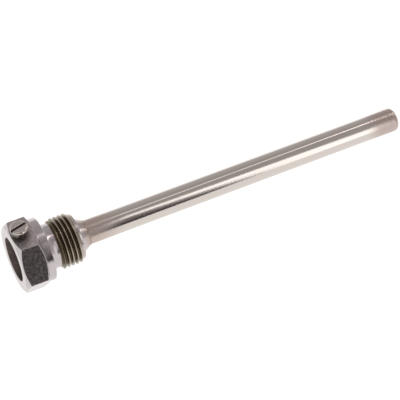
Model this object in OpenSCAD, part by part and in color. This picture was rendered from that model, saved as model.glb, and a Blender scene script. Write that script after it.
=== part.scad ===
// Thermowell with a G 1/2 connection and a clamp screw.
// It is built along +X with its origin at the centre of the sealing face:
// the head lies at -X, the stem runs to +X and the clamp screw stands up
// along +Z on one flat of the hexagon.

/* [Head] */
// Width across the flats of the hexagon
hex_af = 27; // [26.5:0.1:30]
// Length of the hexagon along the axis
hex_length = 10; // [9:0.5:14]
// Diameter at which the chamfers of the hexagon meet its end faces
hex_chamfer_d = 26.1; // [26:0.05:26.4]
// Angle of the chamfers of the hexagon to its end faces
hex_chamfer_angle = 30; // [20:1:35]
// Diameter of the sealing collar
collar_d = 26; // [25:0.1:26]
// Length of the sealing collar
collar_length = 3; // [2.5:0.1:5]
// Chamfer on the rim of the collar
collar_chamfer = 0.25; // [0.1:0.05:0.5]

/* [Threaded end] */
// Major diameter of the thread
thread_d = 20.955; // [20.7:0.005:21]
// Pitch of the thread
thread_pitch = 1.8143; // [1.7:0.0001:1.9]
// Angle between the two flanks of a thread ridge
thread_angle = 55; // [50:1:58]
// Depth of the thread
thread_depth = 1.162; // [1.1:0.001:1.17]
// Angle about the axis at which the thread starts
thread_start_angle = 31; // [0:1:359]
// Distance from the sealing face to the end face of the thread
stud_length = 14; // [12:0.5:20]
// Diameter of the relief groove behind the collar
relief_d = 18.2; // [17.5:0.1:18.4]
// Length of the relief groove
relief_length = 3.6; // [3:0.1:4.5]
// Radius at the bottom of the relief groove, next to the collar
relief_fillet = 1.4; // [0.5:0.1:1.8]
// Diameter of the plain land at the end of the thread
land_d = 18.5; // [18:0.1:18.6]
// Length of the plain land
land_length = 0.7; // [0.4:0.1:1.5]
// Diameter of the hub where it leaves the end face
hub_d = 15; // [13:0.1:16]
// Length of the tapered hub, up to the weld bead
hub_length = 3.4; // [2.5:0.1:6]

/* [Socket] */
// Diameter of the socket that takes the neck of the thermometer
socket_d = 18.2; // [17:0.1:19]
// Depth of the socket
socket_depth = 11; // [9:0.5:11.5]
// Chamfer at the mouth of the socket
socket_chamfer = 0.2; // [0.1:0.05:0.4]
// Chamfer that leads the probe from the socket into its passage
passage_chamfer = 1; // [0.3:0.1:1.5]

/* [Clamp screw] */
// Distance from the front face to the axis of the clamp screw
screw_setback = 3.8; // [3.6:0.1:5]
// Diameter over the thread of the clamp screw
screw_d = 3.9; // [2.8:0.1:4.8]
// Length of the clamp screw below its head
screw_length = 6; // [5:0.5:8]
// Chamfer at the end of the clamp screw
screw_point = 0.5; // [0.2:0.1:0.8]
// Gap between the backed-off clamp screw and the wall of the socket
screw_back_off = 0.65; // [0.3:0.05:1.5]
// Diameter of the screw head
screw_head_d = 7; // [6:0.1:7.2]
// Height of the screw head
screw_head_height = 2.6; // [2.2:0.1:3.5]
// Radius round the top edge of the screw head
screw_head_round = 0.7; // [0.2:0.1:1]
// Width of the screwdriver slot
slot_width = 1.2; // [0.8:0.1:1.6]
// Depth of the screwdriver slot
slot_depth = 1.1; // [0.8:0.1:1.4]
// Angle between the slot and the axis of the well
slot_turn = 13.7; // [-90:0.1:90]
// Chamfer at the mouth of the screw hole
screw_hole_chamfer = 0.3; // [0.1:0.1:0.6]
// Radial clearance between the clamp screw and its hole
screw_clearance = 0.08; // [0.05:0.01:0.1]

/* [Stem] */
// Distance from the sealing face to the closed tip
immersion_length = 160; // [60:1:400]
// Outer diameter of the stem
stem_d = 10; // [9:0.1:11]
// Wall thickness of the stem
stem_wall = 0.8; // [0.5:0.1:1.2]
// Depth of the stem's seat, measured from the end face of the thread
stem_seat_depth = 6; // [4:0.5:8]
// Radial clearance of the slip fits under the welds
slip_fit = 0.03; // [0.01:0.01:0.05]
// Height of the root weld above the stem
weld_height = 0.5; // [0.3:0.05:0.8]
// Length of the root weld along the stem
weld_length = 0.9; // [0.6:0.1:1.6]
// Crown of the root weld above a straight taper
weld_crown = 0.06; // [0:0.01:0.1]
// Length of the solid cap that closes the tip
cap_length = 4; // [3:0.1:8]
// Radius round the edge of the cap
tip_round = 1.9; // [0.5:0.1:2.3]
// Depth of the V groove that the cap's weld fills
groove_depth = 0.5; // [0.3:0.05:0.6]
// Crown of the cap's weld above the stem
cap_weld_crown = 0.03; // [0:0.01:0.1]

/* [Hidden] */
$fn = 96;

// Reach of a cutting shape past the surface it opens
over = 1;
// Reach of the ends and the crest of the thread past its blank
thread_over = 0.2;
// Steps in one turn of the thread
turn_steps = 48;

front_x = -(collar_length + hex_length);
hub_end_x = stud_length + hub_length;
seat_x = stud_length - stem_seat_depth;
socket_floor_x = front_x + socket_depth;
land_x = stud_length - land_length;
tube_end_x = immersion_length - cap_length;

collar_r = collar_d / 2;
thread_r = thread_d / 2;
root_r = thread_r - thread_depth;
relief_r = relief_d / 2;
land_r = land_d / 2;
socket_r = socket_d / 2;
stem_r = stem_d / 2;
probe_r = stem_r - stem_wall;
groove_r = stem_r - groove_depth;

screw_x = front_x + screw_setback;
screw_r = screw_d / 2;
screw_hole_r = screw_r + screw_clearance;
screw_tip_z = socket_r + screw_back_off;
screw_head_z = screw_tip_z + screw_length;

// Lays a shape built along +Z along +X.
module along_x() {
    rotate([0, 90, 0])
        children();
}

// Turns a half section, given as points of radius and place on the axis.
module turned(section) {
    along_x()
        rotate_extrude()
            polygon(section);
}

// Hexagon with a turned chamfer at both ends and a flat square to +Z.
module hexagon() {
    corner_r = hex_af / 2 / cos(30);
    chamfer_r = hex_chamfer_d / 2;
    chamfer_x = (corner_r - chamfer_r) * tan(hex_chamfer_angle);
    intersection() {
        along_x()
            translate([0, 0, front_x])
                rotate(30)
                    cylinder(r = corner_r, h = hex_length, $fn = 6);
        turned([[0, front_x], [chamfer_r, front_x],
                [corner_r, front_x + chamfer_x], [corner_r, -collar_length - chamfer_x],
                [chamfer_r, -collar_length], [0, -collar_length]]);
    }
}

// Collar, relief groove, core of the thread, land and hub, on one axis.
module stud_core() {
    relief_corner = [for (a = [0:15:90])
        [relief_r + relief_fillet * (1 - sin(a)), relief_fillet * (1 - cos(a))]];
    turned(concat(
        [[0, -collar_length - over], [collar_r, -collar_length - over],
         [collar_r, -collar_chamfer], [collar_r - collar_chamfer, 0]],
        relief_corner,
        [[relief_r, land_x - over], [land_r, land_x - over], [land_r, stud_length],
         [hub_d / 2, stud_length], [stem_r + weld_height, hub_end_x], [0, hub_end_x]]));
}

// Turned blank of the thread, with a 45 degree chamfer at both ends that
// runs on down into the core.
module thread_blank() {
    turned([[0, relief_length - thread_over],
            [relief_r - thread_over, relief_length - thread_over],
            [thread_r, relief_length + thread_r - relief_r],
            [thread_r, land_x - thread_r + land_r],
            [land_r - thread_over, land_x + thread_over], [0, land_x + thread_over]]);
}

// Right-hand thread as one closed barrel. Each row of its points is a helix,
// four rows to a pitch, and a point on the axis closes each end. The crest
// stands above the blank, which trims it to a true cylinder.
module thread_barrel() {
    slope = tan(thread_angle / 2);
    crest_r = thread_r + thread_over;
    crest = thread_pitch / 6 - 2 * thread_over * slope;
    flank = (thread_depth + thread_over) * slope;
    profile = [[0, crest_r], [crest, crest_r], [crest + flank, root_r],
               [thread_pitch - flank, root_r]];
    rows = len(profile);
    first_x = relief_length - 2 * thread_pitch;
    turns = ceil((stud_length - first_x) / thread_pitch) + 1;

    function corner(j, i) =
        let (r = profile[j % rows][1], a = thread_start_angle + i * 360 / turn_steps)
        [r * cos(a), r * sin(a),
         first_x + thread_pitch * (floor(j / rows) + i / turn_steps) + profile[j % rows][0]];
    function index(j, i) =
        i < turn_steps ? j * turn_steps + i : (j + rows) * turn_steps + i - turn_steps;
    // Edge of one end: a turn along its row, then back down the profile.
    function rim(j) = concat([for (i = [0:turn_steps]) index(j, i)],
                             [for (k = [rows - 1:-1:1]) index(j + k, 0)]);
    function fan(apex, loop) =
        [for (k = [0:len(loop) - 1]) [apex, loop[k], loop[(k + 1) % len(loop)]]];

    last = turns * rows;
    corners = [for (j = [0:last], i = [0:turn_steps - 1]) corner(j, i)];
    apexes = [[0, 0, first_x - over], [0, 0, first_x + (turns + 1) * thread_pitch + over]];
    walls = [for (j = [0:last - rows - 1], i = [0:turn_steps - 1])
        let (a = index(j, i), b = index(j + 1, i), c = index(j + 1, i + 1), d = index(j, i + 1))
        each [[a, b, c], [a, c, d]]];
    foot = fan(len(corners), rim(0));
    top = [for (f = fan(len(corners) + 1, rim(last - rows))) [f[0], f[2], f[1]]];
    along_x()
        polyhedron(points = concat(corners, apexes), faces = concat(walls, foot, top),
                   convexity = 10);
}

// Socket, lead-in, passage of the probe and seat of the stem.
module inner_bores() {
    turned([[0, front_x - over], [socket_r + socket_chamfer + over, front_x - over],
            [socket_r, front_x + socket_chamfer], [socket_r, socket_floor_x],
            [probe_r + passage_chamfer, socket_floor_x],
            [probe_r, socket_floor_x + passage_chamfer], [probe_r, seat_x],
            [stem_r + slip_fit, seat_x], [stem_r + slip_fit, hub_end_x + over],
            [0, hub_end_x + over]]);
}

// Hole for the clamp screw, from the flat down into the socket.
module screw_hole() {
    translate([screw_x, 0, 0]) {
        cylinder(r = screw_hole_r, h = hex_af / 2 + over);
        translate([0, 0, hex_af / 2 - screw_hole_chamfer])
            cylinder(r1 = screw_hole_r, r2 = screw_hole_r + screw_hole_chamfer + over,
                     h = screw_hole_chamfer + over);
    }
}

module threaded_head() {
    color("lightsteelblue")
    difference() {
        union() {
            hexagon();
            stud_core();
            intersection() {
                thread_blank();
                thread_barrel();
            }
        }
        inner_bores();
        screw_hole();
    }
}

// Seamless tube, seated in the head, with its far end bevelled for the weld.
module stem_tube() {
    color("silver")
    turned([[probe_r, seat_x], [stem_r, seat_x], [stem_r, tube_end_x - groove_depth],
            [groove_r, tube_end_x], [probe_r, tube_end_x]]);
}

// Bead that runs the hub's taper out onto the stem.
module root_weld() {
    bead = [for (t = [0:0.25:1])
        [stem_r + weld_height * (1 - t) + 4 * weld_crown * t * (1 - t),
         hub_end_x + weld_length * t]];
    color("tan")
    turned(concat([[stem_r, hub_end_x]], bead));
}

// Solid cap against the end of the tube, bevelled for the weld and rounded
// at the tip.
module end_cap() {
    round_edge = [for (a = [0:10:90])
        [stem_r - tip_round * (1 - cos(a)), immersion_length - tip_round * (1 - sin(a))]];
    color("silver")
    turned(concat([[0, tube_end_x], [groove_r, tube_end_x], [stem_r, tube_end_x + groove_depth]],
                  round_edge, [[0, immersion_length]]));
}

// Weld that fills the V groove between the tube and the cap.
module cap_weld() {
    bead = [for (t = [-1:0.5:1])
        [stem_r + cap_weld_crown * (1 - t * t), tube_end_x - groove_depth * t]];
    color("tan")
    turned(concat([[groove_r, tube_end_x]], bead));
}

// Slotted cheese head screw, backed off until its point clears the socket.
module clamp_screw() {
    head_r = screw_head_d / 2;
    top_edge = [for (a = [0:15:90])
        [head_r - screw_head_round * (1 - cos(a)),
         screw_head_height - screw_head_round * (1 - sin(a))]];
    color("gainsboro")
    translate([screw_x, 0, screw_head_z])
        rotate(slot_turn)
            difference() {
                rotate_extrude()
                    polygon(concat(
                        [[0, -screw_length], [screw_r - screw_point, -screw_length],
                         [screw_r, screw_point - screw_length], [screw_r, 0], [head_r, 0]],
                        top_edge,
                        [[0, screw_head_height]]));
                translate([-head_r - over, -slot_width / 2, screw_head_height - slot_depth])
                    cube([screw_head_d + 2 * over, slot_width, slot_depth + over]);
            }
}

threaded_head();
stem_tube();
root_weld();
end_cap();
cap_weld();
clamp_screw();
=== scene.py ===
# %% [markdown]
# # A thermowell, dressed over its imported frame
# A thermowell is a closed steel pocket that screws into a pipe, so that a thermometer can be
# drawn out without draining the pipe. The exact solids come from the frame. This lesson builds
# the surfaces that the eye sees: eased edges, a true thread, weld beads and worked steel.

# %% Load the frame
from math import atan, ceil, cos, hypot, pi, radians, sin, sqrt, tan

import bmesh
import bpy
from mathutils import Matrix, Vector


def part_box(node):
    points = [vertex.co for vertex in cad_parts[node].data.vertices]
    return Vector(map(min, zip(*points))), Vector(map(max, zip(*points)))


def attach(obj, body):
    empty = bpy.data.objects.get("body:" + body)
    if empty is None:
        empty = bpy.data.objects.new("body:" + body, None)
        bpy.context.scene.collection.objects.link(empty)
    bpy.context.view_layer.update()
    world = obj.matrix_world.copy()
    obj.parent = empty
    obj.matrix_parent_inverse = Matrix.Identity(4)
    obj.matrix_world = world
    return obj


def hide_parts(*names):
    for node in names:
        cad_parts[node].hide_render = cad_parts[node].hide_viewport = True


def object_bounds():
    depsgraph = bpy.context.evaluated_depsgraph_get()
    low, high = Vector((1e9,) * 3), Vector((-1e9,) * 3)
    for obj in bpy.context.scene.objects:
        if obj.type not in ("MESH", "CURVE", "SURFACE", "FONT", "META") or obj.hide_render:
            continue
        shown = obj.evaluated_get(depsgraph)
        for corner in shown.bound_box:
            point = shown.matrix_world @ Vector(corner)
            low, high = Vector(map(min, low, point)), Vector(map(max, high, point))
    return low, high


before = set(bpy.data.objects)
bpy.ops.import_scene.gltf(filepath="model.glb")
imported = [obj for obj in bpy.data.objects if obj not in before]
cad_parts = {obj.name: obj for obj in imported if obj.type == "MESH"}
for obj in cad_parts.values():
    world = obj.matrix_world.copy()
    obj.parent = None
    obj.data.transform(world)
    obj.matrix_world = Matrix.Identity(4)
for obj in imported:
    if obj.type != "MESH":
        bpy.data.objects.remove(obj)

cad_low, cad_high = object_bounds()
mm = 0.001
print("CAD box, mm:", [round(v / mm, 2) for v in (*cad_low, *cad_high)])

# %% [markdown]
# ## Where things are
# The well lies along X, with the sealing face at x = 0 and the clamp screw on top. The stations
# along the axis come from the boxes of the frame's nodes, so the dressed part cannot drift from
# the solids. The sizes between them, which no box shows, are those of the part's source.

# %% Stations and radii
head_low, head_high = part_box("threaded_head")
tube_low, tube_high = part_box("stem_tube")
cap_low, cap_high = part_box("end_cap")
screw_low, screw_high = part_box("clamp_screw")

front_x = head_low.x
hub_end_x = head_high.x
seat_x = tube_low.x
tube_end_x = cap_low.x
tip_x = cap_high.x
hex_half = head_high.z
stem_r = tube_high.z
weld_end_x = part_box("root_weld")[1].x
screw_x = (screw_low.x + screw_high.x) / 2

collar_x, collar_r, collar_edge = -3 * mm, 13 * mm, 0.25 * mm
chamfer_r, chamfer_slope = 13.05 * mm, tan(radians(30))
thread_end_x, land_x, land_r = 14 * mm, 13.3 * mm, 9.25 * mm
relief_r, relief_end_x = 9.1 * mm, 3.6 * mm
hub_r, weld_height = 7.5 * mm, 0.5 * mm
socket_r, socket_floor_x, socket_edge = 9.1 * mm, -2 * mm, 0.2 * mm
probe_r, passage_edge, fit_gap = 4.2 * mm, 1 * mm, 0.03 * mm
print("front", round(front_x / mm, 2), "tip", round(tip_x / mm, 2), "stem", round(2 * stem_r / mm, 2))

# %% [markdown]
# ## One helper turns everything
# Nearly every piece here is lathe work: an outline of (x, radius) carried round the axis.
# Blender's Screw modifier does that for a plain outline. Here the outline may change with the
# angle, so one function serves the hexagon, the threads and the rippled welds as well.

# %% Skin a turned piece
same_point = 1e-7            # metres: points closer than this are one


def skin(name, columns, zones=None, comes_round=True):
    """A closed mesh through columns of points. Each column is an outline that closes on itself."""
    work = bmesh.new()
    points = [[work.verts.new(p) for p in column] for column in columns]
    high = len(columns[0])
    for left, right in zip(points, points[1:] + points[:1] if comes_round else points[1:]):
        for j in range(high):
            k = (j + 1) % high
            face = work.faces.new((left[j], left[k], right[k], right[j]))
            face.smooth = True
            face.material_index = zones[j] if zones else 0
    bmesh.ops.remove_doubles(work, verts=work.verts, dist=same_point)
    bmesh.ops.dissolve_degenerate(work, edges=work.edges, dist=same_point)
    bmesh.ops.holes_fill(work, edges=work.edges, sides=0)
    bmesh.ops.recalc_face_normals(work, faces=work.faces)
    mesh = bpy.data.meshes.new(name)
    work.to_mesh(mesh)
    work.free()
    piece = bpy.data.objects.new(name, mesh)
    bpy.context.scene.collection.objects.link(piece)
    return piece


def about_x(x, r, angle):
    """A point at a radius round the well's axis. Angle 0 is at the bottom."""
    return (x, r * sin(angle), -r * cos(angle))


def turned(name, outline_at, steps=192, angles=None, zones=None):
    """Turns an outline, which may change with the angle, about the well's axis."""
    angles = angles or [2 * pi * i / steps for i in range(steps)]
    return skin(name, [[about_x(x, r, a) for x, r in outline_at(a)] for a in angles], zones)


print("a point on top of the stem, mm:", [round(v / mm, 2) for v in about_x(seat_x, stem_r, pi)])

# %% [markdown]
# ## Eased edges
# A turned edge is never perfectly sharp: the tool's nose and a touch of a file leave a radius
# of about a tenth of a millimetre, and that thin band is what catches the light. A Bevel
# modifier could do it, but an outline already knows its corners, so each corner is replaced by
# a short curve before the outline is turned.

# %% Ease the corners of an outline
def eased(corners, cuts=3, most=0.45):
    """Eases corners of (x, r, radius, zone), each by at most this share of its shorter side.

    Returns the points and each point's zone.
    """
    points, zones = [], []
    for i, (x, r, radius, zone) in enumerate(corners):
        ax, ar = corners[i - 1][:2]
        bx, br = corners[(i + 1) % len(corners)][:2]
        before, after = hypot(ax - x, ar - r), hypot(bx - x, br - r)
        if radius <= 0:
            points.append((x, r))
            zones.append(zone)
            continue
        cut = min(radius, most * before, most * after)
        sx, sr = x + (ax - x) * cut / before, r + (ar - r) * cut / before
        ex, er = x + (bx - x) * cut / after, r + (br - r) * cut / after
        for k in range(cuts + 1):
            t = k / cuts
            points.append(((1 - t) ** 2 * sx + 2 * t * (1 - t) * x + t * t * ex,
                           (1 - t) ** 2 * sr + 2 * t * (1 - t) * r + t * t * er))
            zones.append(zone)
    return points, zones


def even_shading(piece, crease=radians(35)):
    """Corners stay crisp, flats shade flat and only the eased edges turn the normals."""
    piece.data.set_sharp_from_angle(angle=crease)
    piece.modifiers.new("even_shading", "WEIGHTED_NORMAL").keep_sharp = True
    return piece


square = [(x, r, 0.1, 0) for x, r in ((0, 0), (1, 0), (1, 1), (0, 1))]
print("a square with eased corners has", len(eased(square)[0]), "points")

# %% [markdown]
# ## The head
# The head is one piece of bar: a hexagon chamfered at both ends, a round collar that seals on
# the pipe, a relief groove, the thread's core and a hub that tapers to the stem. Modelling a
# hexagonal prism and cutting cones from it leaves ragged triangles. In polar form the hexagon
# is only a radius that changes with the angle, so the same outline is turned with a moving
# radius, and the curved edge between flat and chamfer comes out exact.

# %% Radius of the hexagon at any angle
corner_round = 0.25 * mm
corner_centre = (hex_half - corner_round) / cos(pi / 6)
round_from = atan(corner_centre * sin(pi / 6) / hex_half)


def hexagon_r(angle):
    """Distance from the axis to the hexagon's side, with a flat at the bottom and the top."""
    off = abs((angle + pi / 6) % (pi / 3) - pi / 6)
    if off < round_from:
        return hex_half / cos(off)
    turn = pi / 6 - off
    return corner_centre * cos(turn) + sqrt(corner_round ** 2 - (corner_centre * sin(turn)) ** 2)


# A column stands every two degrees over a flat, and closer ones where the corner turns.
within_flat = [radians(v) for v in (*range(-28, 29, 2), -29, 29)]
at_corner = [s * v for s in (-1, 1) for v in (round_from, round_from * 0.35 + pi / 6 * 0.65)]
hex_angles = sorted((side * pi / 3 + v) % (2 * pi)
                    for side in range(6) for v in within_flat + at_corner + [pi / 6])
print("columns round the head:", len(hex_angles))

# %% [markdown]
# The outline runs from the mouth of the socket over the outside to the hub, and back through
# the seat of the stem, the passage and the socket. Each corner has the radius that its tool
# leaves. The relief groove sweeps up to the collar in a quarter of an ellipse, longer than it
# is high, which is what spreads the highlight behind the collar. A zone says which tool cut
# the face that follows, so that each can have its own finish.

# %% Outline of the head
TURNED, FLAT, BORE, GROOVE = 0, 1, 2, 3
fine_edge, edge = 0.05 * mm, 0.12 * mm
front_flat_edge, back_flat_edge, hub_edge = 0.06 * mm, 0.18 * mm, 0.3 * mm
sweep_long, sweep_high = 3.6 * mm, 1.4 * mm
core_end_x, land_start_x = land_x - 1 * mm, land_x - 0.9 * mm


def head_corners(angle):
    """The head's outline at an angle, as (x, r, radius, zone)."""
    hex_r = hexagon_r(angle)
    rise = (hex_r - chamfer_r) * chamfer_slope
    sweep = [(sweep_long * (1 - cos(radians(a))), relief_r + sweep_high * (1 - sin(radians(a))),
              0, GROOVE) for a in range(0, 91, 5)]
    return [
        (front_x, socket_r + socket_edge, fine_edge, TURNED),
        (front_x, chamfer_r, edge, TURNED),
        (front_x + rise, hex_r, front_flat_edge, FLAT),
        (collar_x - rise, hex_r, back_flat_edge, TURNED),
        (collar_x, collar_r, 0, TURNED),
        (-collar_edge, collar_r, fine_edge, TURNED),
        (0, collar_r - collar_edge, fine_edge, TURNED),
        *sweep,
        (core_end_x, relief_r, 0, TURNED),
        (land_start_x, land_r, 0, TURNED),
        (thread_end_x, land_r, edge, TURNED),
        (thread_end_x, hub_r, hub_edge, TURNED),
        (hub_end_x, stem_r + weld_height, fine_edge, TURNED),
        (hub_end_x, stem_r + fit_gap, 0, BORE),
        (seat_x, stem_r + fit_gap, 0, BORE),
        (seat_x, probe_r, fine_edge, BORE),
        (socket_floor_x + passage_edge, probe_r, fine_edge, BORE),
        (socket_floor_x, probe_r + passage_edge, fine_edge, BORE),
        (socket_floor_x, socket_r, 0, BORE),
        (front_x + socket_edge, socket_r, fine_edge, BORE),
    ]


head = turned("head", lambda a: eased(head_corners(a))[0], angles=hex_angles,
              zones=eased(head_corners(0))[1])
print("head:", len(head.data.polygons), "faces")

# %% [markdown]
# The clamp screw's hole is the one cut across the axis, so here a Boolean does the work. The
# cutter is turned too: a hole with a 45 degree countersink where it breaks the flat. A Boolean
# splits the faces that it meets, so those that still lie in one plane are joined again.

# %% Turn an upright piece and carve with it
clear = 1 * mm               # how far a cutter stands out of what it cuts
one_plane = radians(0.05)    # faces that meet at less than this lie in one plane


def upright(name, outline, steps=96, zone=0):
    """A closed piece turned about the clamp screw's upright axis, from (z, radius) points."""
    turns = [2 * pi * (i + 0.5) / steps for i in range(steps)]
    columns = [[(screw_x + r * cos(a), r * sin(a), z) for z, r in outline] for a in turns]
    return skin(name, columns, [zone] * len(outline))


def carve(piece, cutter):
    """Cuts one closed mesh from another and bakes the result into the piece."""
    step = piece.modifiers.new("carve", "BOOLEAN")
    step.object, step.operation, step.solver = cutter, "DIFFERENCE", "EXACT"
    graph = bpy.context.evaluated_depsgraph_get()
    mesh = bpy.data.meshes.new_from_object(piece.evaluated_get(graph))
    piece.modifiers.remove(step)
    piece.data = mesh
    bpy.data.objects.remove(cutter)
    work = bmesh.new()
    work.from_mesh(mesh)
    bmesh.ops.dissolve_limit(work, angle_limit=one_plane, verts=work.verts, edges=work.edges,
                             delimit={"MATERIAL"})
    work.to_mesh(mesh)
    work.free()
    return piece


print("the clamp screw's axis is at x, mm:", round(screw_x / mm, 2))

# %% Hole for the clamp screw
hole_r, sink = 2.03 * mm, 0.3 * mm
hole_foot_z = 4 * mm
head = carve(head, upright("hole_cutter", [
    (hole_foot_z, 0), (hole_foot_z, hole_r), (hex_half - sink, hole_r),
    (hex_half + clear, hole_r + sink + clear), (hex_half + clear, 0)], zone=BORE))
even_shading(head)
print("head with its screw hole:", len(head.data.polygons), "faces")

# %% [markdown]
# ## The pipe thread
# A pipe thread's ridge is a 55 degree V with a rounded crest and root. Stacked rings would look
# right from afar and wrong at both ends, where a real ridge starts thin on the lead-in chamfer
# and runs out on the far one. So every row of the mesh follows the helix, and the radius is
# held under a cone at each end.

# %% Rows of a screw thread
sleeve = 0.1 * mm            # the rows stand on a thin sleeve that closes the mesh inside the core


def ridge(pitch, depth, half_angle, rounding):
    """One pitch of a rounded V thread: (place along the pitch, depth under the crest)."""
    arc = [radians(share * (90 - half_angle)) for share in (0, 0.4, 0.75, 1)]
    crest = [(rounding * sin(a), rounding * (1 - cos(a))) for a in arc]
    root = [(pitch / 2 - s, depth - d) for s, d in reversed(crest)]
    half = crest + root
    return half + [(pitch - s, d) for s, d in reversed(half[1:-1])]


def threaded(name, place, pitch, crest_r, profile, start, finish, sunk_r, phase, steps):
    """place(along, radius, angle) puts a point. phase is where a crest passes angle 0."""
    first = phase - ceil((phase - start) / pitch + 1) * pitch
    turns = ceil((finish - first) / pitch) + 1
    inside = sunk_r - sleeve
    columns = []
    for i in range(steps + 1):
        angle, column = 2 * pi * i / steps, []
        for j in range(turns * len(profile)):
            offset, depth = profile[j % len(profile)]
            along = first + pitch * (j // len(profile) + i / steps) + offset
            along = min(max(along, start), finish)
            r = min(crest_r - depth, sunk_r + min(along - start, finish - along))
            column.append(place(along, r, angle))
        columns.append(column + [place(finish, inside, angle), place(start, inside, angle)])
    # The last column lies on the first one, a pitch further on, so their points merge in skin().
    return skin(name, columns, comes_round=False)


print("a ridge has", len(ridge(1, 0.6, 30, 0.1)), "rows of points to a pitch")

# %% Build the pipe thread
pipe_pitch, pipe_crest_r = 1.8143 * mm, 10.4775 * mm
pipe_depth, pipe_rounding, pipe_half_angle = 1.162 * mm, 0.249 * mm, 27.5
pipe_crest_x = 0.77 * mm - pipe_pitch / 2
pipe_sunk = 0.15 * mm        # how deep the ends of the ridge are sunk into the core
pipe_thread = threaded(
    "pipe_thread", about_x, pipe_pitch, pipe_crest_r,
    ridge(pipe_pitch, pipe_depth, pipe_half_angle, pipe_rounding),
    start=relief_end_x - pipe_sunk, finish=land_x + land_r - relief_r + pipe_sunk,
    sunk_r=relief_r - pipe_sunk, phase=pipe_crest_x, steps=192)
print("pipe thread:", len(pipe_thread.data.polygons), "faces")

# %% [markdown]
# ## The stem, its cap and its welds
# The stem is seamless tube, bored right through, with a solid cap butted against its end. The
# cap's weld is dressed flush, so only its colour shows. The root weld stands up: the puddle
# froze in scales about half a millimetre apart, so the bead's radius carries small ripples
# that lean back from the way the torch went. A bump in the material would be cheaper, but it
# would leave the bead's outline smooth, so the ripples are modelled.

# %% Stem tube and end cap
v_groove, tip_round = 0.5 * mm, 1.9 * mm
quarter = [radians(a) for a in range(0, 91, 9)]

tube = turned("stem", lambda a: [
    (seat_x, probe_r), (seat_x, stem_r), (tube_end_x - v_groove, stem_r),
    (tube_end_x, stem_r - v_groove), (tube_end_x, probe_r)])

tip_arc = [(tip_x - tip_round * (1 - sin(a)), stem_r - tip_round * (1 - cos(a))) for a in quarter]
cap = turned("cap", lambda a: [
    (tube_end_x, 0), (tube_end_x, stem_r - v_groove), (tube_end_x + v_groove, stem_r),
    *tip_arc, (tip_x, 0)])
for piece in (tube, cap):
    even_shading(piece)
print("stem and cap:", len(tube.data.polygons), len(cap.data.polygons), "faces")

# %% Weld beads
scales = 64                  # scales of the weld in one turn
root_crown, root_ripple, root_lean = 0.05 * mm, 0.022 * mm, 4
cap_crown, cap_ripple, cap_lean = 0.012 * mm, 0.006 * mm, 2
root_sunk, toe_sunk = 0.1 * mm, 0.02 * mm


def root_bead(angle, rows=15):
    """Outline of the bead between hub and tube, from its hidden foot to its toe on the tube."""
    points = [(hub_end_x, stem_r - root_sunk)]
    for k in range(rows - 1):
        t = k / (rows - 1)
        x = hub_end_x + (weld_end_x - hub_end_x) * t
        bulge = 4 * t * (1 - t)
        ripple = root_ripple * bulge * sin(scales * angle + root_lean * bulge)
        points.append((x, stem_r + weld_height * (1 - t) + root_crown * bulge + ripple))
    return points + [(weld_end_x, stem_r - toe_sunk)]


def cap_bead(angle, rows=9):
    """Outline of the flush bead that fills the V groove between tube and cap."""
    points = [(tube_end_x, stem_r - v_groove)]
    for k in range(rows):
        t = 2 * k / (rows - 1) - 1
        ripple = cap_ripple * (1 - t * t) * sin(scales * angle + cap_lean * t * t)
        points.append((tube_end_x - v_groove * t, stem_r + cap_crown * (1 - t * t) + ripple))
    return points


root_weld = turned("root_weld_bead", root_bead, steps=768)
cap_weld = turned("cap_weld_bead", cap_bead, steps=768)
print("weld beads:", len(root_weld.data.polygons), len(cap_weld.data.polygons), "faces")

# %% [markdown]
# ## The clamp screw
# A slotted cheese head screw, backed off so that the socket is free. Its head is cold formed
# with a rounded rim and the slot is sawn across. The slot's cutter flares at the top, which
# leaves the small chamfer to which the saw's burr is brushed. The cutter is a bar, and a bar is
# a skin through only two outlines. The slot's floor has its own zone, for painted shade.

# %% Screw head with its slot
screw_top = screw_high.z
head_z = screw_top - 2.6 * mm
screw_head_r, rim, under_edge = 3.5 * mm, 0.85 * mm, 0.1 * mm
plug_r, plug_deep = 1.6 * mm, 0.3 * mm
slot_half, slot_deep, flare, reach = 0.6 * mm, 1.1 * mm, 0.09 * mm, 5 * mm
slot_angle = radians(13.7)
BRIGHT, SLOT = 0, 1

rim_arc = [(screw_top - rim * (1 - sin(a)), screw_head_r - rim * (1 - cos(a))) for a in quarter]
screw_head = upright("screw_head", [
    (head_z - plug_deep, 0), (head_z - plug_deep, plug_r), (head_z, plug_r),
    (head_z, screw_head_r - under_edge), (head_z + under_edge, screw_head_r),
    *rim_arc, (screw_top, 0)], steps=192)

section = [(-slot_half, screw_top - slot_deep), (slot_half, screw_top - slot_deep),
           (slot_half, screw_top - flare), (slot_half + flare + clear, screw_top + clear),
           (-slot_half - flare - clear, screw_top + clear), (-slot_half, screw_top - flare)]
ends = [[(screw_x + s * reach * cos(slot_angle) - w * sin(slot_angle),
          s * reach * sin(slot_angle) + w * cos(slot_angle), z) for w, z in section]
        for s in (-1, 1)]
slot_cutter = skin("slot_cutter", ends, [SLOT] + [BRIGHT] * (len(section) - 1), comes_round=False)
screw_head = even_shading(carve(screw_head, slot_cutter))
print("screw head:", len(screw_head.data.polygons), "faces")

# %% [markdown]
# The shank has an M4 thread: 60 degrees, 0.7 mm pitch, cut to 0.43 mm deep. It is the same
# builder as the pipe thread, set upright. A plain core runs inside it up into the head.

# %% Screw shank
tip_z, shank_r = screw_low.z, 1.95 * mm
screw_pitch, screw_depth, screw_rounding, screw_half_angle = 0.7 * mm, 0.43 * mm, 0.06 * mm, 30
core_r = shank_r - screw_depth
point_edge, core_up = 0.1 * mm, 0.2 * mm
tip_inset, neck_long, screw_sunk = 0.02 * mm, 0.25 * mm, 0.05 * mm


def about_screw(z, r, angle):
    """A point at a radius round the clamp screw's axis."""
    return (screw_x + r * sin(angle), r * cos(angle), z)


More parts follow.
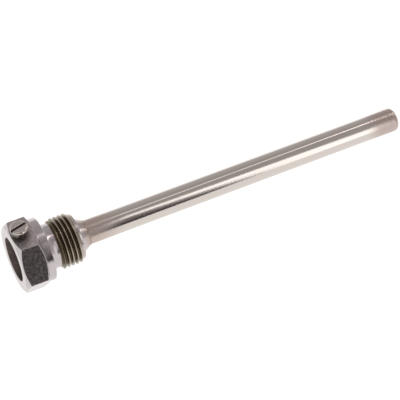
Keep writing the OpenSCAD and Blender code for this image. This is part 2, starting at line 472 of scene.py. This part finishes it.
shank = threaded(
    "screw_thread", about_screw, screw_pitch, shank_r,
    ridge(screw_pitch, screw_depth, screw_half_angle, screw_rounding),
    start=tip_z + tip_inset, finish=head_z - neck_long, sunk_r=core_r - screw_sunk,
    phase=0, steps=96)
core = upright("screw_core", [
    (tip_z, 0), (tip_z, core_r - point_edge), (tip_z + point_edge, core_r),
    (head_z + core_up, core_r), (head_z + core_up, 0)])
print("screw shank:", len(shank.data.polygons), "faces")

# %% [markdown]
# ## Worked steel
# Everything is stainless steel, so one metal carries every finish: turned, cold drawn, ground,
# welded and tumbled. Blender wants linear colours, and people mix colours in sRGB, so one
# function converts. Another adds a shader node together with its settings and links, and a
# third joins a colour, a roughness and a relief to the metal.

# %% Colour and node helpers
def linear(code):
    """An sRGB hex colour as the linear RGBA that Blender wants."""
    values = [int(code[i:i + 2], 16) / 255 for i in (1, 3, 5)]
    return (*[v / 12.92 if v <= 0.04045 else ((v + 0.055) / 1.055) ** 2.4 for v in values], 1)


def add(tree, kind, sockets=None, **settings):
    """Adds a node. A socket's value is a constant or another node's output."""
    made = tree.nodes.new(kind)
    for name, value in settings.items():
        setattr(made, name, value)
    for socket, value in (sockets or {}).items():
        if isinstance(value, bpy.types.NodeSocket):
            tree.links.new(value, made.inputs[socket])
        else:
            made.inputs[socket].default_value = value
    return made


def new_metal(name):
    """A bare metal: its material, its node tree and the place of a point on the piece."""
    material = bpy.data.materials.new(name)
    material.use_nodes = True
    tree = material.node_tree
    tree.nodes["Principled BSDF"].inputs["Metallic"].default_value = 1
    return material, tree, add(tree, "ShaderNodeTexCoord").outputs["Object"]


def finish_metal(material, tree, colour, roughness, relief, deep):
    """Joins a colour, a roughness and a relief of a real depth to the metal."""
    shader = tree.nodes["Principled BSDF"]
    bump = add(tree, "ShaderNodeBump", {"Height": relief, "Strength": 1.0, "Distance": deep})
    tree.links.new(colour, shader.inputs["Base Color"])
    tree.links.new(roughness, shader.inputs["Roughness"])
    tree.links.new(bump.outputs[0], shader.inputs["Normal"])
    print("material", material.name)
    return material


smooth = "SMOOTHSTEP"
noise_low, noise_high = 0.3, 0.7                         # a noise seldom leaves this range
bar_steel, tube_grey = "#c4bdc0", "#cdc7c2"
print("bar steel in linear light:", [round(v, 3) for v in linear(bar_steel)[:3]])

# %% [markdown]
# ### Turned stainless steel
# A lathe leaves fine rings that follow the tool: round the cylinders and across the faces. On
# both, the sum of x and radius changes along the cut, so one coordinate serves all of them.
# The real feed is about 0.1 mm a turn; it is drawn at 0.3 mm so that it shows at this size.
# The relief groove is plunged with a form tool, which leaves closer and deeper rings.
#
# Two films of colour lie over the bare steel. Painted shade fills the thread's valleys in dark
# olive and covers its first ridge, lightening towards the top. The root weld warmed the end of
# the hub to straw. Each follows from where a point is.

# %% Films over turned steel
shaded_from_x, shaded_to_x = 3.4 * mm, 12.6 * mm               # the shaded stretch of the thread
first_ridge_x, second_ridge_x = 4.9 * mm, 5.7 * mm       # the shaded ridge and the next one
shade_low_z, shade_high_z = 6.5 * mm, 9 * mm                     # heights between which the painted shade on the ridge lightens
valley_r, crest_r = 9.8 * mm, 10.3 * mm                  # radii between which it thins out
full_film, ridge_film, crest_film = 1.0, 0.8, 0.25


def painted_thread_shade(tree, colour, at):
    """Painted shade fills the valleys and covers the first ridge, lighter near the top of the thread.
    """
    ridge_shade_by_height = add(tree, "ShaderNodeMapRange", {
        "Value": at["z"], "From Min": shade_low_z, "From Max": shade_high_z,
        "To Min": ridge_film, "To Max": crest_film}, interpolation_type=smooth)
    on_crest = add(tree, "ShaderNodeMapRange", {
        "Value": at["x"], "From Min": first_ridge_x, "From Max": second_ridge_x,
        "To Min": ridge_shade_by_height.outputs[0], "To Max": crest_film})
    depth = add(tree, "ShaderNodeMapRange", {
        "Value": at["radius"], "From Min": valley_r, "From Max": crest_r,
        "To Min": full_film, "To Max": on_crest.outputs[0]})
    enter = add(tree, "ShaderNodeMapRange", {
        "Value": at["x"], "From Min": shaded_from_x, "From Max": shaded_from_x + 0.5 * mm})
    leave = add(tree, "ShaderNodeMapRange", {
        "Value": at["x"], "From Min": shaded_to_x - 1.2 * mm, "From Max": shaded_to_x,
        "To Min": 1.0, "To Max": 0.0})
    inside = add(tree, "ShaderNodeMath", {0: enter.outputs[0], 1: leave.outputs[0]},
                 operation="MINIMUM")
    held = add(tree, "ShaderNodeMath", {0: depth.outputs[0], 1: inside.outputs[0]},
               operation="MULTIPLY")
    # Painted shade, dark olive, in the valleys and on the lower part of the first ridge.
    return add(tree, "ShaderNodeMixRGB", {
        "Fac": held.outputs[0], "Color1": colour, "Color2": linear("#5f553f")}).outputs[0]


def weld_heat(tree, colour, at):
    """A straw tint over the last millimetres of the hub, next to the root weld."""
    warmth = add(tree, "ShaderNodeMapRange", {
        "Value": at["x"], "From Min": hub_end_x - 3 * mm, "From Max": hub_end_x,
        "To Min": 0.0, "To Max": 0.9}, interpolation_type=smooth)
    return add(tree, "ShaderNodeMixRGB", {
        "Fac": warmth.outputs[0], "Color1": colour, "Color2": linear("#b2a297")}).outputs[0]


# The dark film is painted shade.
print("the oil thins out over", round((crest_r - valley_r) / mm, 2), "mm of radius")

# %% Turned stainless steel
patch_size, patch_dark = 2.5 * mm, 0.88                  # slow patches of shine, a bit darker
least_rough, most_rough = 0.8, 1.3                       # times the finish's own roughness


def turned_steel(name, colour, roughness, ring_height, feed=0.3 * mm, film=None):
    """Lathe rings of a height and a feed, in slow patches of shine, under a film if any."""
    material, tree, place = new_metal(name)
    parts = add(tree, "ShaderNodeSeparateXYZ", {0: place}).outputs
    flat_place = add(tree, "ShaderNodeCombineXYZ", {"Y": parts["Y"], "Z": parts["Z"]})
    radius = add(tree, "ShaderNodeVectorMath", {0: flat_place.outputs[0]},
                 operation="LENGTH").outputs["Value"]
    along = add(tree, "ShaderNodeMath", {0: parts["X"], 1: radius}, operation="ADD")
    rings = add(tree, "ShaderNodeTexNoise", {
        "W": along.outputs[0], "Scale": 1 / feed, "Detail": 2.0}, noise_dimensions="1D")
    patches = add(tree, "ShaderNodeTexNoise", {
        "Vector": place, "Scale": 1 / patch_size, "Detail": 3.0})
    rough = add(tree, "ShaderNodeMapRange", {
        "Value": patches.outputs["Fac"], "From Min": noise_low, "From Max": noise_high,
        "To Min": roughness * least_rough, "To Max": roughness * most_rough})
    tint = add(tree, "ShaderNodeMixRGB", {
        "Fac": patches.outputs["Fac"], "Color1": linear(colour),
        "Color2": tuple(patch_dark * v for v in linear(colour))}).outputs[0]
    if film:
        tint = film(tree, tint, {"x": parts["X"], "z": parts["Z"], "radius": radius})
    return finish_metal(material, tree, tint, rough.outputs[0], rings.outputs["Fac"], ring_height)


head_turned = turned_steel("turned_stainless_steel", bar_steel, roughness=0.2,
                           ring_height=0.004 * mm, film=weld_heat)
groove_turned = turned_steel("plunge_cut_stainless_steel", bar_steel, roughness=0.16,
                             ring_height=0.02 * mm, feed=0.12 * mm)
# The bores' darker tone is painted shade inside the socket, the passage and the screw's hole.
bore_steel = turned_steel("bored_stainless_steel", "#ada29e", roughness=0.4,
                          ring_height=0.006 * mm)
thread_steel = turned_steel("threaded_stainless_steel", "#c2b9b0", roughness=0.24,
                            ring_height=0.002 * mm, film=painted_thread_shade)

# %% [markdown]
# ### Cold drawn hexagon bar
# The flats are not machined. They keep the skin of drawn bar: a little pitted, with a grain
# stretched along the bar. Noise squeezed in one direction gives that grain. The real pits are
# a few tenths of a millimetre wide; they are drawn at 0.8 mm so that they show. Round the
# clamp screw's hole the skin was dulled when the burr was filed off, and a painted shadow of
# the screw's head darkens it, so both fade with the distance from the hole.

# %% Cold drawn flats
pit_size, pit_depth = 0.8 * mm, 0.007 * mm
shadow_near, shadow_far, shadow_full = 2 * mm, 6 * mm, 0.8        # how far the painted shadow of the screw's head spreads from the hole
filed_near, filed_far, filed_rough = 3.5 * mm, 8 * mm, 0.4


def drawn_flats(name):
    """Drawn skin with pits, a painted shadow round the screw's hole and a dull ring round it."""
    material, tree, place = new_metal(name)
    from_hole = add(tree, "ShaderNodeVectorMath", {0: place, 1: (screw_x, 0, hex_half)},
                    operation="DISTANCE").outputs["Value"]
    # Painted shadow: the screw's head darkens the flat round its hole.
    head_shadow = add(tree, "ShaderNodeMapRange", {
        "Value": from_hole, "From Min": shadow_near, "From Max": shadow_far,
        "To Min": shadow_full, "To Max": 0.0}, interpolation_type=smooth)
    stretch = add(tree, "ShaderNodeMapping", {"Vector": place, "Scale": (0.7, 1, 1)})
    pits = add(tree, "ShaderNodeTexNoise", {
        "Vector": stretch.outputs[0], "Scale": 1 / pit_size, "Detail": 3.0,
        "Roughness": 0.75}).outputs["Fac"]
    rough = add(tree, "ShaderNodeMapRange", {
        "Value": pits, "From Min": noise_low, "From Max": noise_high,
        "To Min": 0.15, "To Max": 0.22})
    filed = add(tree, "ShaderNodeMapRange", {
        "Value": from_hole, "From Min": filed_near, "From Max": filed_far,
        "To Min": filed_rough, "To Max": 0.0}, interpolation_type=smooth)
    dull = add(tree, "ShaderNodeMath", {0: rough.outputs[0], 1: filed.outputs[0]},
               operation="ADD")
    proud = add(tree, "ShaderNodeMapRange", {"Value": pits, "From Min": 0.36, "From Max": 0.6})
    tint = add(tree, "ShaderNodeMixRGB", {
        "Fac": proud.outputs[0], "Color1": linear("#a49c9e"), "Color2": linear("#ccc3c5")})
    shadowed = add(tree, "ShaderNodeMixRGB", {
        "Fac": head_shadow.outputs[0], "Color1": tint.outputs[0], "Color2": linear("#6f6663")})
    return finish_metal(material, tree, shadowed.outputs[0], dull.outputs[0], pits, pit_depth)


flat_steel = drawn_flats("cold_drawn_stainless_steel")

# %% [markdown]
# ### Ground tube with heat tint
# The tube was ground to a satin shine. Near each weld the heat grew an oxide film, straw to
# brown, and left the surface duller: over nearly two centimetres at the root and about one at
# the tip. Both follow from the distance to the weld, so two ranges of x drive the colour and
# the roughness together, and noise makes their edges wander. The real grinding lines are a
# few hundredths of a millimetre apart; they are drawn at 0.35 mm so that they show.

# %% Ground tube
root_heat_long, tip_heat_from, tip_heat_to = 18 * mm, 13 * mm, 4 * mm
grind_spacing, grind_depth = 0.35 * mm, 0.0015 * mm
blotch, wander_by = 1.6 * mm, 1.2 * mm                   # how the edges of the tint wander
shiny, dulled, tip_share = 0.13, 0.36, 0.8               # the tip was dulled a little less


def ground_tube(name):
    """Satin tube that turns brown and dull towards both welds."""
    material, tree, place = new_metal(name)
    x = add(tree, "ShaderNodeSeparateXYZ", {0: place}).outputs["X"]
    grain = add(tree, "ShaderNodeTexNoise", {
        "Vector": place, "Scale": 1 / blotch, "Detail": 3.0})
    wander = add(tree, "ShaderNodeMapRange", {
        "Value": grain.outputs["Fac"], "To Min": -wander_by, "To Max": wander_by})
    near = add(tree, "ShaderNodeMath", {0: x, 1: wander.outputs[0]}, operation="ADD").outputs[0]
    root = add(tree, "ShaderNodeMapRange", {
        "Value": near, "From Min": weld_end_x, "From Max": weld_end_x + root_heat_long,
        "To Min": 1.0, "To Max": 0.0}, interpolation_type=smooth)
    tip = add(tree, "ShaderNodeMapRange", {
        "Value": near, "From Min": tube_end_x - tip_heat_from,
        "From Max": tube_end_x - tip_heat_to}, interpolation_type=smooth)
    brown = add(tree, "ShaderNodeMixRGB", {
        "Fac": root.outputs[0], "Color1": linear(tube_grey), "Color2": linear("#beb0a9")})
    straw = add(tree, "ShaderNodeMixRGB", {
        "Fac": tip.outputs[0], "Color1": brown.outputs[0], "Color2": linear("#bbada9")})
    light_heat = add(tree, "ShaderNodeMath", {0: tip.outputs[0], 1: tip_share},
                     operation="MULTIPLY")
    heat = add(tree, "ShaderNodeMath", {0: root.outputs[0], 1: light_heat.outputs[0]},
               operation="MAXIMUM")
    rough = add(tree, "ShaderNodeMapRange", {
        "Value": heat.outputs[0], "To Min": shiny, "To Max": dulled})
    lines = add(tree, "ShaderNodeTexNoise", {
        "W": x, "Scale": 1 / grind_spacing, "Detail": 2.0}, noise_dimensions="1D")
    return finish_metal(material, tree, straw.outputs[0], rough.outputs[0],
                        lines.outputs["Fac"], grind_depth)


tube_steel = ground_tube("ground_stainless_tube")

# %% [markdown]
# ### Weld metal and the screw
# Weld metal is cast steel with a straw tint and a soft sheen. The screw is the brightest
# piece: it was cold headed and tumbled in a barrel, so only small handling marks break it.
# The head's lower side, the slot's floor and the shank are darker: painted shade under the head
# and in the slot. One noise serves all of these, as all that changes is its size, depth and colour.
# Handling marks are really a few tenths of a millimetre long and are drawn at 1.2 mm.

# %% Weld metal and bright screw
# Painted shade on the lower part of the screw head's side, fading out upwards.
shade_full, shade_none, shade_cover = 1.1 * mm, 2.2 * mm, 0.82


def cast_or_tumbled(name, light, dark, low, high, size, height, shade_from_z=None):
    """Metal marked by a noise, rough from low to high, with painted shade that thins out upwards."""
    material, tree, place = new_metal(name)
    marks = add(tree, "ShaderNodeTexNoise", {
        "Vector": place, "Scale": 1 / size, "Detail": 4.0}).outputs["Fac"]
    tint = add(tree, "ShaderNodeMixRGB", {
        "Fac": marks, "Color1": linear(dark), "Color2": linear(light)}).outputs[0]
    # Painted shade: darker towards the foot of the head, under which the flat lies in shadow.
    if shade_from_z is not None:
        z = add(tree, "ShaderNodeSeparateXYZ", {0: place}).outputs["Z"]
        shade_on_side = add(tree, "ShaderNodeMapRange", {
            "Value": z, "From Min": shade_from_z + shade_full, "From Max": shade_from_z + shade_none,
            "To Min": shade_cover, "To Max": 0.0}, interpolation_type=smooth)
        tint = add(tree, "ShaderNodeMixRGB", {
            "Fac": shade_on_side.outputs[0], "Color1": tint, "Color2": linear("#3c342f")}).outputs[0]
    rough = add(tree, "ShaderNodeMapRange", {
        "Value": marks, "From Min": noise_low, "From Max": noise_high,
        "To Min": low, "To Max": high})
    return finish_metal(material, tree, tint, rough.outputs[0], marks, height)


weld_steel = cast_or_tumbled("stainless_weld_metal", "#b8aaa1", "#8d7f76",
                             low=0.25, high=0.4, size=0.8 * mm, height=0.01 * mm)
screw_steel = cast_or_tumbled("tumbled_stainless_screw", "#d6cfcb", "#b6adaa", low=0.12,
                              high=0.24, size=1.2 * mm, height=0.006 * mm, shade_from_z=head_z)
# Painted shade: the dark steel of the slot's floor, the shank and its core, under the head.
shaded_screw = cast_or_tumbled("screw_steel_in_painted_shade", "#6f655e", "#4a423d",
                             low=0.3, high=0.45, size=0.5 * mm, height=0.01 * mm)

# %% [markdown]
# ## Dress the frame
# The table lists each piece's finishes in the order of its zones, its slot in the record, the body
# that it moves with and the solid that it stands for. Each piece takes its finishes and its body,
# and that solid is hidden. The clamp screw's three pieces share a body, so they move as one.

# %% Give each piece its finish and its body, and hide the solid it stands for
finishes = {
    head: ([head_turned, flat_steel, bore_steel, groove_turned],
           "turned_steel", "well", "threaded_head"),
    pipe_thread: ([thread_steel], "turned_steel", "well", "threaded_head"),
    tube: ([tube_steel], "drawn_tube", "well", "stem_tube"),
    cap: ([tube_steel], "turned_steel", "well", "end_cap"),
    root_weld: ([weld_steel], "weld_metal", "well", "root_weld"),
    cap_weld: ([tube_steel], "weld_metal", "well", "cap_weld"),
    screw_head: ([screw_steel, shaded_screw], "screw_steel", "clamp_screw", "clamp_screw"),
    shank: ([shaded_screw], "screw_steel", "clamp_screw", "clamp_screw"),
    core: ([shaded_screw], "screw_steel", "clamp_screw", "clamp_screw"),
}
for piece, (materials, slot, body, node) in finishes.items():
    for material in materials:
        piece.data.materials.append(material)
    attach(piece, body)
    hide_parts(node)
print("pieces:", len(finishes))

# %% [markdown]
# ## The room
# Polished steel has almost no colour of its own: it shows the room. In a studio it stands on a
# lit white table, with white panels and black flags placed where the steel will see them. Here
# they are plain glowing cards, hidden from the camera. A point on one is given by its distance
# along the well and its height in degrees, as seen from the part, because that angle decides
# which line of a round stem mirrors it.

# %% Card helpers
def blank_material(name):
    """A material with an empty node tree, for lights."""
    material = bpy.data.materials.new(name)
    material.use_nodes = True
    material.node_tree.nodes.clear()
    return material, material.node_tree


def card(name, corners, material, faces=None):
    """A flat piece of the studio, which isn't part of the well."""
    mesh = bpy.data.meshes.new(name)
    mesh.from_pydata(corners, [], faces or [tuple(range(len(corners)))])
    made = bpy.data.objects.new(name, mesh)
    made.data.materials.append(material)
    bpy.context.scene.collection.objects.link(made)
    return made


def glow(name, colour, strength, fade=None):
    """A card's light. A fade is (axis, from, to, strength at from): it grows to the full strength."""
    material, tree = blank_material(name)
    light = add(tree, "ShaderNodeEmission", {"Color": linear(colour), "Strength": strength})
    if fade:
        axis, start, finish, low = fade
        place = add(tree, "ShaderNodeTexCoord").outputs["Object"]
        along = add(tree, "ShaderNodeSeparateXYZ", {0: place}).outputs[axis]
        grow = add(tree, "ShaderNodeMapRange", {
            "Value": along, "From Min": start, "From Max": finish,
            "To Min": low, "To Max": strength}, interpolation_type=smooth)
        tree.links.new(grow.outputs[0], light.inputs["Strength"])
    add(tree, "ShaderNodeOutputMaterial", {"Surface": light.outputs[0]})
    return material


def around(x, height, distance=1.2):
    """A point beside the well: 0 degrees is level in front, 90 is overhead, 180 behind."""
    return (x, -distance * cos(radians(height)), distance * sin(radians(height)))


print("half way up in front, m:", [round(v, 2) for v in around(0, 45)])

# %% [markdown]
# A tall black flag stands in front of the well and gives the head its dark bands. The white
# panel begins where the flag ends and lights the stem. A strip light hangs overhead: it drifts
# back along the well, brightens on the way and turns down at its far end. It draws the line of
# light that runs along the top of the stem.

# %% Flag, panel and strip light
flag_edge = [(0.30, 58), (0.344, 46), (0.374, 37), (0.403, 31), (0.447, 21), (0.49, 6), (0.52, -1)]
panel_edge = [(0.8, -1), (0.8, 32), (0.66, 39), (0.58, 47), (0.49, 53), (0.40, 61), (0.31, 73)]
white_panel = card("white_panel", [around(*p) for p in flag_edge + panel_edge],
                   glow("panel_light", "#fffdfb", 1.8))
black_flag = card("black_flag",
                  [around(*p) for p in [(-0.1, -3), *flag_edge[::-1], (0.29, 76), (-0.1, 76)]],
                  glow("black_cloth", "#fff0f2", 0.19, fade=("Z", 0.1, 0.6, 0.045)))

near_x, far_x, low_end = -0.4, 1.25, 0.2
strip_corners = [around(near_x, 93), around(far_x, 103), around(far_x, 103, low_end),
                 around(far_x, 110, low_end), around(far_x, 110), around(near_x, 100)]
strip_light = card("strip_light", strip_corners,
                   glow("strip_glow", "#fff6f2", 5.0, fade=("X", 0.5, 0.92, 1.3)),
                   faces=[(0, 1, 4, 5), (1, 2, 3, 4)])
cards = (white_panel, black_flag, strip_light)
for made in cards:
    made.visible_camera = False
print("cards:", [made.name for made in cards])

# %% [markdown]
# The table is a diffusing sheet lit from below. Its own glow is far stronger than the light
# that it sends back, so the part leaves only a faint shadow. It shines upwards alone: seen
# from beneath, it lets the room through.

# %% Table
table_half, table_gap = 1.6, 0.05 * mm
floor_z = cad_low.z - table_gap
table_light, tree = blank_material("lit_white_table")
sheet = add(tree, "ShaderNodeBsdfDiffuse", {"Color": linear("#6a6a6a")})
glow_through = add(tree, "ShaderNodeEmission", {"Color": linear("#fffdfb"), "Strength": 1.02})
lit = add(tree, "ShaderNodeAddShader", {0: sheet.outputs[0], 1: glow_through.outputs[0]})
below = add(tree, "ShaderNodeNewGeometry").outputs["Backfacing"]
clear_sheet = add(tree, "ShaderNodeBsdfTransparent")
one_sided = add(tree, "ShaderNodeMixShader", {
    0: below, 1: lit.outputs[0], 2: clear_sheet.outputs[0]})
add(tree, "ShaderNodeOutputMaterial", {"Surface": one_sided.outputs[0]})
table = card("table", [(sx * table_half, sy * table_half, floor_z)
                       for sx, sy in ((-1, -1), (1, -1), (1, 1), (-1, 1))], table_light)
print(table.name, "at z, mm:", round(floor_z / mm, 2))

# %% [markdown]
# The room itself is an even grey, a little darker overhead. The camera sees plain white behind
# the part instead, so the world answers camera rays and mirrored rays differently.

# %% World
world = bpy.data.worlds.new("grey_room")
bpy.context.scene.world = world
world.use_nodes = True
tree = world.node_tree
tree.nodes.clear()
direction = add(tree, "ShaderNodeTexCoord").outputs["Generated"]
upward = add(tree, "ShaderNodeSeparateXYZ", {0: direction}).outputs["Z"]
ceiling = add(tree, "ShaderNodeMapRange", {
    "Value": upward, "From Min": 0.45, "From Max": 0.85,
    "To Min": 0.57, "To Max": 0.46}, interpolation_type=smooth)
room = add(tree, "ShaderNodeBackground", {
    "Color": linear("#fff8f6"), "Strength": ceiling.outputs[0]})
backdrop = add(tree, "ShaderNodeBackground", {"Color": linear("#ffffff"), "Strength": 1.0})
seen = add(tree, "ShaderNodeLightPath").outputs["Is Camera Ray"]
mixed = add(tree, "ShaderNodeMixShader", {0: seen, 1: room.outputs[0], 2: backdrop.outputs[0]})
add(tree, "ShaderNodeOutputWorld", {"Surface": mixed.outputs[0]})
bpy.context.scene.view_settings.view_transform = "Standard"
print("world:", world.name)

# %% [markdown]
# ## The camera
# A long lens from well above, turned to the head's side, so that the mouth of the socket shows
# and the stem runs away to the right. The camera stands on a line through the point that it
# looks at, which keeps that point in the middle whatever the distance.

# %% Camera
look_at = Vector((68.477, 0, -5.951)) * mm
turn_to, tilt_to, away = radians(-26.092), radians(49.56), 650.9 * mm
back = Vector((sin(turn_to) * cos(tilt_to), -cos(turn_to) * cos(tilt_to), sin(tilt_to)))
lens = bpy.data.cameras.new("studio_camera")
lens.sensor_width, lens.lens = 36, 142.8
lens.clip_start, lens.clip_end = 0.01, 20
camera = bpy.data.objects.new("studio_camera", lens)
camera.location = look_at + back * away
camera.rotation_mode = "QUATERNION"
camera.rotation_quaternion = (-back).to_track_quat("-Z", "Y")
bpy.context.scene.collection.objects.link(camera)
bpy.context.scene.camera = camera
print("camera, mm:", [round(v / mm) for v in camera.location])
